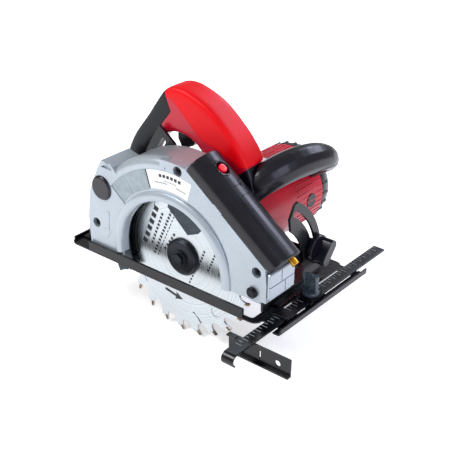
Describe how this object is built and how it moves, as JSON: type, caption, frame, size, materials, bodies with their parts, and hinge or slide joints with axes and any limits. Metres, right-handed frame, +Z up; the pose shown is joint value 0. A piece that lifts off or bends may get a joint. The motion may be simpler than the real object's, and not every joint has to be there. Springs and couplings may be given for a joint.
{
  "type": "circular saw",
  "caption": "Hand-held circular saw with a tilting base, depth quadrant, swinging lower guard, laser guide and sliding rip fence.",
  "frame": {"origin": "centre of the base plate's rectangle, on the sole that lies on the work", "axes": "+X the way the saw cuts, +Y from the blade towards the motor, +Z up"},
  "size_m": [0.3302, 0.276, 0.2643],
  "materials": {
    "bright_steel": "ground",
    "dark_steel": "blackened",
    "black_steel": "gloss black",
    "silver_paint": "satin silver",
    "black_plastic": "satin moulded",
    "black_rubber": "soft touch",
    "red_plastic": "gloss moulded",
    "red_grip": "soft touch",
    "grey_plastic": "clear grey",
    "brass": "turned",
    "copper": "wound copper"
  },
  "bodies": {
    "base": {"base_plate": "black_steel", "bevel_quadrant": "black_steel", "rear_bracket": "black_steel", "bevel_pin_front": "bright_steel", "bevel_pin_rear": "bright_steel", "fence_guide": "black_steel", "fence_clamp": "black_steel"},
    "fence": {"fence_bar": "black_steel", "fence_plate": "black_steel"},
    "fence_knob": {"fence_knob": "grey_plastic"},
    "bevel_frame": {"bevel_frame": "black_steel", "depth_quadrant": "black_steel", "depth_pivot_bolt": "black_steel", "bevel_nut": "bright_steel"},
    "bevel_knob": {"bevel_knob": "black_plastic"},
    "saw_body": {"outer_guard": "silver_paint", "cover_screw_1": "black_steel", "cover_screw_2": "black_steel", "cover_screw_3": "black_steel", "inner_guard": "silver_paint", "front_block": "silver_paint", "dust_port_plug": "black_plastic", "lower_guard_spring": "bright_steel", "spindle_bearing_front": "bright_steel", "spindle_bearing_rear": "bright_steel", "armature_bearing_front": "bright_steel", "armature_bearing_rear": "bright_steel", "gear_housing": "black_plastic", "motor_housing": "red_plastic", "motor_end_cap": "black_plastic", "stator": "dark_steel", "brush_holder_front": "black_plastic", "brush_holder_rear": "black_plastic", "cable_gland": "black_plastic", "main_handle": "red_plastic", "rear_grip": "black_rubber", "top_grip": "red_grip", "switch_body": "black_plastic", "aux_handle": "black_plastic", "laser_body": "black_plastic", "laser_nozzle": "brass"},
    "blade": {"blade": "bright_steel", "outer_flange": "dark_steel", "inner_flange": "dark_steel", "spindle": "bright_steel", "blade_bolt": "dark_steel", "output_gear": "dark_steel"},
    "armature": {"armature_shaft": "bright_steel", "armature_core": "copper", "commutator": "copper", "cooling_fan": "black_plastic"},
    "lower_guard": {"lower_guard": "dark_steel", "lower_guard_roller": "black_plastic"},
    "depth_lever": {"depth_lever": "black_plastic"},
    "trigger": {"trigger": "black_plastic"},
    "lock_off_button": {"lock_off_button": "black_plastic"},
    "spindle_lock": {"spindle_lock": "red_plastic"},
    "laser_button": {"laser_button": "red_plastic"}
  },
  "joints": [
    {"name": "bevel_tilt", "type": "hinge", "parent": "base", "child": "bevel_frame", "pos_m": [0.0155, -0.0519, 0.0235], "axis": [1, 0, 0], "range_deg": [0, 45]},
    {"name": "depth_swing", "type": "hinge", "parent": "bevel_frame", "child": "saw_body", "pos_m": [0.1245, -0.0519, 0.0335], "axis": [0, 1, 0], "range_deg": [0, 35]},
    {"name": "blade_spin", "type": "hinge", "parent": "saw_body", "child": "blade", "pos_m": [0.0155, -0.0519, 0.0245], "axis": [0, -1, 0], "continuous": true},
    {"name": "armature_spin", "type": "hinge", "parent": "saw_body", "child": "armature", "pos_m": [0.03253, -0.0519, 0.05707], "axis": [0, -1, 0], "continuous": true},
    {"name": "lower_guard_swing", "type": "hinge", "parent": "saw_body", "child": "lower_guard", "pos_m": [0.0155, -0.0519, 0.0245], "axis": [0, -1, 0], "range_deg": [0, 136]},
    {"name": "depth_lever_turn", "type": "hinge", "parent": "saw_body", "child": "depth_lever", "pos_m": [-0.06132, -0.0294, 0.02539], "axis": [0, 1, 0], "range_deg": [0, 38]},
    {"name": "bevel_knob_turn", "type": "hinge", "parent": "bevel_frame", "child": "bevel_knob", "pos_m": [0.124, 0.02889, 0.04023], "axis": [1, 0, 0], "range_deg": [0, 90]},
    {"name": "trigger_press", "type": "slide", "parent": "saw_body", "child": "trigger", "axis": [0, 0, 1], "range_m": [0, 0.005], "stiffness_N_per_m": 500, "springref_m": -0.003},
    {"name": "lock_off_press", "type": "slide", "parent": "saw_body", "child": "lock_off_button", "axis": [0, -1, 0], "range_m": [0, 0.003], "stiffness_N_per_m": 300, "springref_m": -0.002},
    {"name": "spindle_lock_press", "type": "slide", "parent": "saw_body", "child": "spindle_lock", "axis": [1, 0, 0], "range_m": [0, 0.003], "stiffness_N_per_m": 500, "springref_m": -0.002},
    {"name": "laser_button_press", "type": "slide", "parent": "saw_body", "child": "laser_button", "axis": [-0.5978, 0, -0.8017], "range_m": [0, 0.0015], "stiffness_N_per_m": 400, "springref_m": -0.0015},
    {"name": "fence_slide", "type": "slide", "parent": "base", "child": "fence", "axis": [0, 1, 0], "range_m": [-0.115, 0.025]},
    {"name": "fence_knob_turn", "type": "hinge", "parent": "base", "child": "fence_knob", "pos_m": [0.14795, -0.0069, 0.0045], "axis": [0, 0, 1], "range_deg": [0, 90]}
  ],
  "couplings": [
    {"joint": "armature_spin", "follows": "blade_spin", "ratio": -4.4444}
  ]
}
